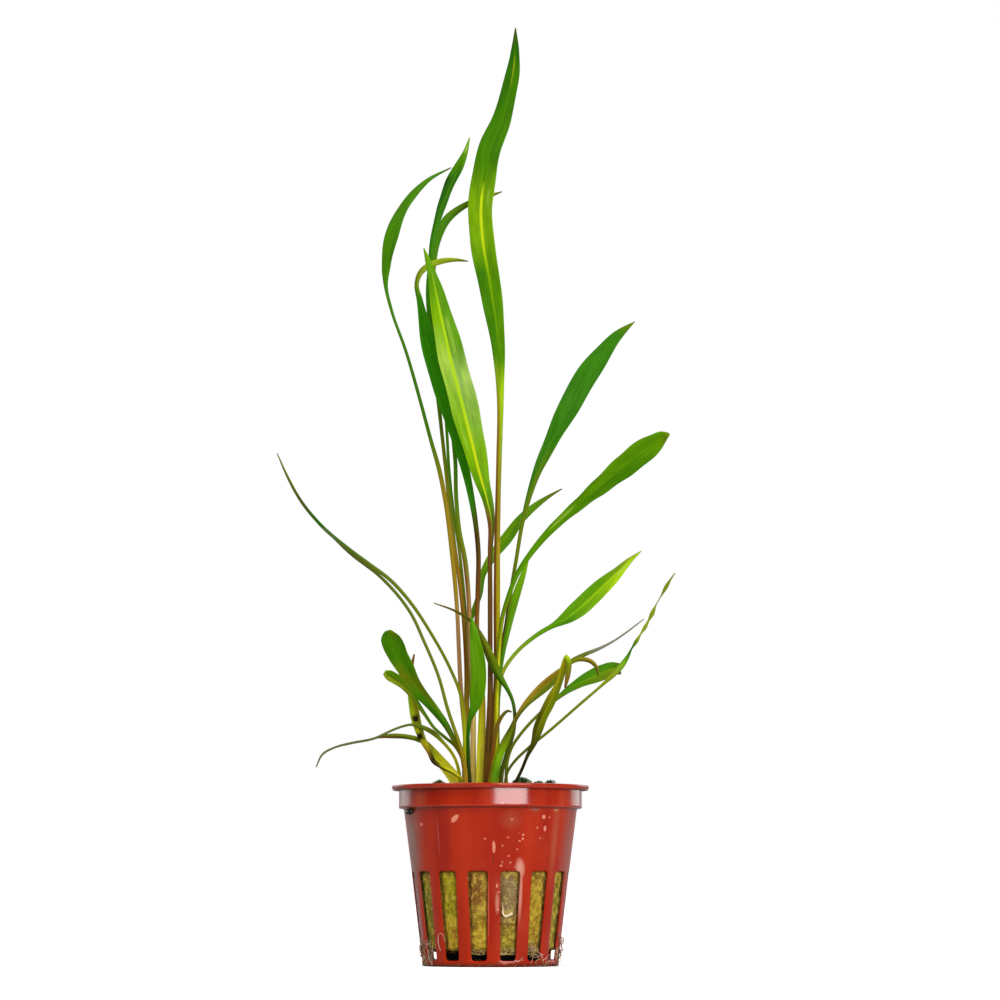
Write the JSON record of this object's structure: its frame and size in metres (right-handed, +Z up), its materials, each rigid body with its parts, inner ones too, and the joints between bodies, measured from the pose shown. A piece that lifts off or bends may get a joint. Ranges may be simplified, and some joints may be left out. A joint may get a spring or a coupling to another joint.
{
  "type": "potted cryptocoryne aquarium plant",
  "caption": "Potted aquarium plant: narrow arching green leaves on long brown stalks, rooted in rock wool in a slotted red-brown net pot.",
  "frame": {"origin": "centre of the pot's flat underside", "axes": "+Z up along the pot's axis; -Y is the front, the side the picture shows; +X is to the right as seen from the front"},
  "size_m": [0.1151, 0.06, 0.271],
  "materials": {
    "net_pot": "glossy red-brown moulded plastic",
    "rock_wool": "matte fibrous mineral wool, wet and stained",
    "crown": "dull fibrous rhizome",
    "leaf_green": "waxy green leaf",
    "leaf_dark": "waxy dark green leaf",
    "leaf_bright": "waxy bright green leaf",
    "leaf_olive": "dull olive leaf",
    "leaf_yellow": "yellow-green ageing leaf",
    "moss": "dull dark green moss",
    "root": "pale moist root"
  },
  "bodies": {
    "root": {"net_pot": "net_pot", "rock_wool": "rock_wool", "crown": "crown", "leaf_tall": "leaf_green", "leaf_broad_front": "leaf_bright", "leaf_left_arching": "leaf_green", "leaf_bent_tip": "leaf_dark", "leaf_upper_left": "leaf_green", "leaf_thin_behind": "leaf_green", "leaf_hidden_middle": "leaf_green", "leaf_right_upright": "leaf_green", "leaf_right_blunt": "leaf_green", "leaf_leaning_behind": "leaf_bright", "leaf_front_centre": "leaf_bright", "leaf_small_lance": "leaf_green", "leaf_drooping": "leaf_dark", "leaf_olive_arching": "leaf_olive", "leaf_folded_top": "leaf_olive", "leaf_green_low_right": "leaf_green", "leaf_dry_grey_tip": "leaf_olive", "leaf_twisted": "leaf_dark", "leaf_bright_right": "leaf_bright", "leaf_spoon_left": "leaf_dark", "leaf_small_folded": "leaf_green", "leaf_decaying": "leaf_yellow", "leaf_low_left": "leaf_yellow", "leaf_curled_tail": "leaf_olive", "leaf_long_left_upper": "leaf_olive", "leaf_long_left_lower": "leaf_olive", "leaf_curled_sprout": "leaf_olive", "moss_right": "moss", "moss_far_right": "moss", "moss_left": "moss", "root_pale": "root", "root_tuft_left": "root", "root_tuft_front_right": "root", "root_tuft_right": "root"}
  },
  "joints": []
}
